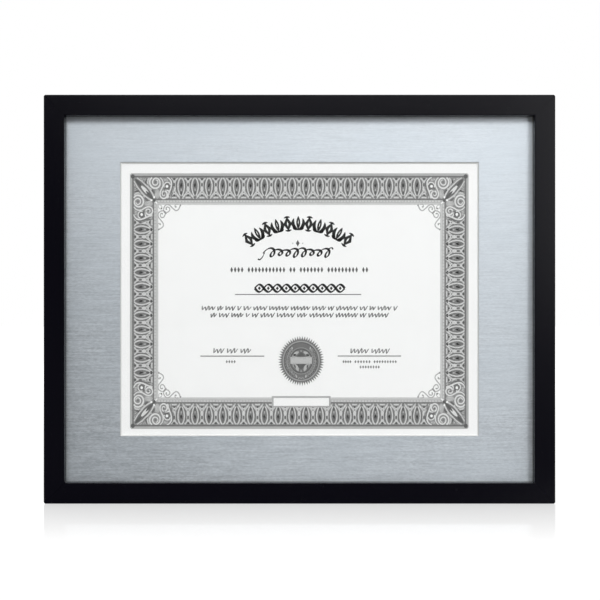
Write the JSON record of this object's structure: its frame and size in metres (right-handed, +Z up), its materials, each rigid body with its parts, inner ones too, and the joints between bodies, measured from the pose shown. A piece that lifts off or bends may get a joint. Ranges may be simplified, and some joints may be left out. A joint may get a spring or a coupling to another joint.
{
  "type": "certificate frame",
  "caption": "Black mitred wooden certificate frame: glass, silver mat with bevelled window, printed sheet, backboard held by turning clips, and a folding easel leg with a stay.",
  "frame": {"origin": "middle of the bounding box's bottom, where the frame stands on its lower edge", "axes": "+X along the width, +Y from the front to the wall, +Z up"},
  "size_m": [0.38, 0.0266, 0.3038],
  "materials": {
    "rail_black": "black satin lacquer",
    "nail_steel": "plain steel",
    "glazing": "clear picture glass",
    "mat_silver": "brushed silver foil",
    "mat_white": "white core",
    "sheet": "smooth white, grey print",
    "insert_card": "plain",
    "board": "smooth fibreboard",
    "clip_steel": "zinc plated",
    "rivet_steel": "nickel plated",
    "hanger_steel": "zinc plated",
    "hinge_steel": "nickel plated",
    "leg_black": "black paper over fibreboard",
    "stay_steel": "nickel plated"
  },
  "bodies": {
    "frame": {"top_rail": "rail_black", "bottom_rail": "rail_black", "left_stile": "rail_black", "right_stile": "rail_black", "corner_v_nails": "nail_steel", "glass": "glazing", "mat_face": "mat_silver", "mat_core": "mat_white", "certificate": "sheet", "insert_board": "insert_card", "backboard": "board", "board_rivets": "rivet_steel", "hanger_landscape": "hanger_steel", "hanger_portrait": "hanger_steel", "hinge_board_leaf": "hinge_steel", "hinge_pin": "hinge_steel", "stay_bracket": "stay_steel", "stay_pivot_pin": "stay_steel"},
    "leg": {"easel_leg": "leg_black", "hinge_leg_leaf": "hinge_steel", "leg_rivets": "rivet_steel", "stay_track": "stay_steel"},
    "stay": {"stay_strut": "stay_steel", "stay_slide_pin": "stay_steel"},
    "clip_1": {"turn_clip_1": "clip_steel"},
    "clip_2": {"turn_clip_2": "clip_steel"},
    "clip_3": {"turn_clip_3": "clip_steel"},
    "clip_4": {"turn_clip_4": "clip_steel"},
    "clip_5": {"turn_clip_5": "clip_steel"},
    "clip_6": {"turn_clip_6": "clip_steel"}
  },
  "joints": [
    {"name": "leg_open", "type": "hinge", "parent": "frame", "child": "leg", "pos_m": [0, 0.007, 0.226], "axis": [1, 0, 0], "range_deg": [0, 28]},
    {"name": "stay_turn", "type": "hinge", "parent": "frame", "child": "stay", "pos_m": [0, 0.007, 0.166], "axis": [1, 0, 0], "range_deg": [0, 56]},
    {"name": "clip_1_turn", "type": "hinge", "parent": "frame", "child": "clip_1", "pos_m": [-0.105, 0.0042, 0.2834], "axis": [0, 1, 0], "continuous": true},
    {"name": "clip_2_turn", "type": "hinge", "parent": "frame", "child": "clip_2", "pos_m": [0.105, 0.0042, 0.2834], "axis": [0, 1, 0], "continuous": true},
    {"name": "clip_3_turn", "type": "hinge", "parent": "frame", "child": "clip_3", "pos_m": [0.1696, 0.0042, 0.1519], "axis": [0, 1, 0], "continuous": true},
    {"name": "clip_4_turn", "type": "hinge", "parent": "frame", "child": "clip_4", "pos_m": [0.105, 0.0042, 0.0204], "axis": [0, 1, 0], "continuous": true},
    {"name": "clip_5_turn", "type": "hinge", "parent": "frame", "child": "clip_5", "pos_m": [-0.105, 0.0042, 0.0204], "axis": [0, 1, 0], "continuous": true},
    {"name": "clip_6_turn", "type": "hinge", "parent": "frame", "child": "clip_6", "pos_m": [-0.1696, 0.0042, 0.1519], "axis": [0, 1, 0], "continuous": true}
  ],
  "couplings": [
    {"joint": "stay_turn", "follows": "leg_open", "ratio": 2}
  ]
}
